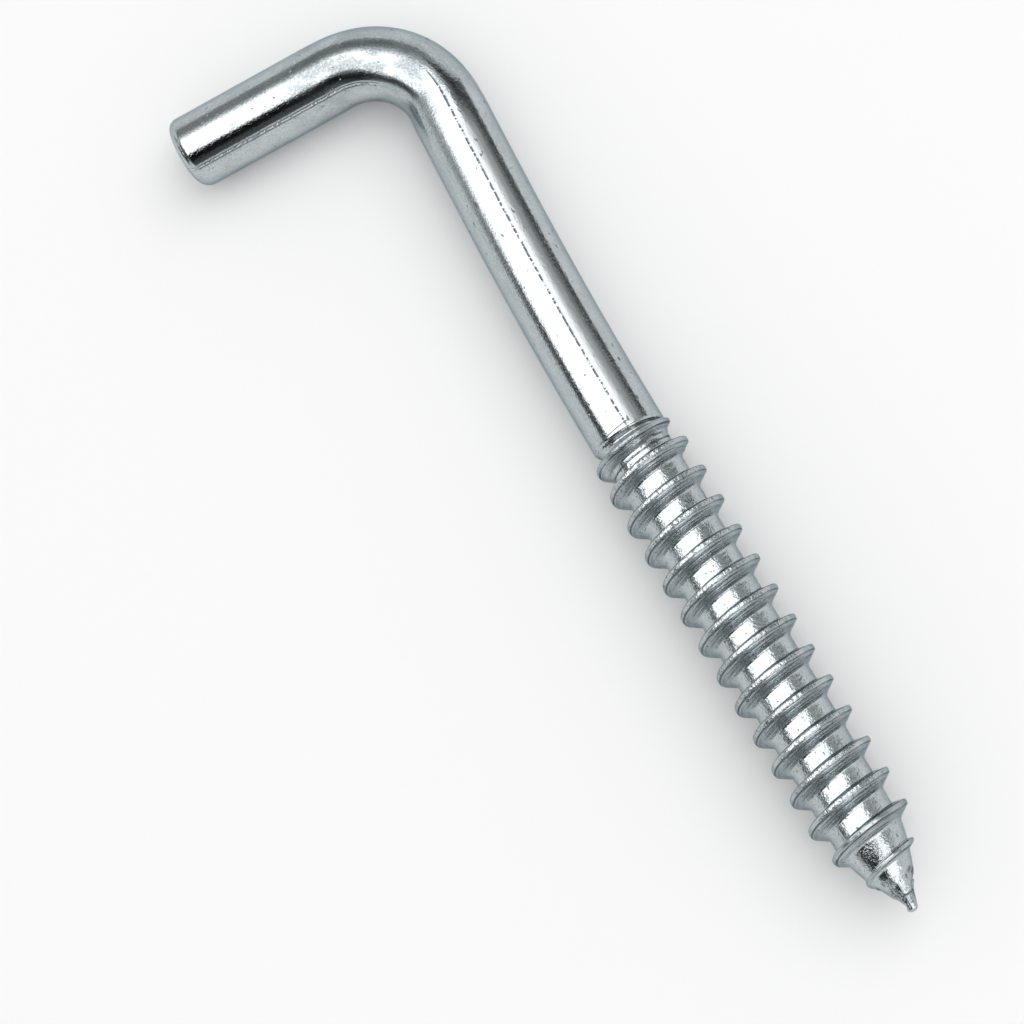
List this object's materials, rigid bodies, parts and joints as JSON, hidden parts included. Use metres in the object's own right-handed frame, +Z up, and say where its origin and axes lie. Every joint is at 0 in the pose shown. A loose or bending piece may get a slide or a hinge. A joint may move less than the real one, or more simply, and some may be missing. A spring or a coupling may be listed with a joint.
{
  "type": "square-bend screw hook",
  "caption": "Round wire hook bent square: a plain short leg, a smooth shank and a long leg with a coarse right-hand wood thread that runs to a point.",
  "frame": {"origin": "middle of the resting hook in plan, on the surface it lies on", "axes": "+X from the point towards the bend, +Y the way the short leg points, +Z up from the surface the hook lies on"},
  "size_m": [0.0832, 0.023, 0.0079],
  "materials": {
    "zinc": "bright zinc plate over drawn and rolled steel wire"
  },
  "bodies": {
    "root": {"screw_hook": "zinc"}
  },
  "joints": []
}
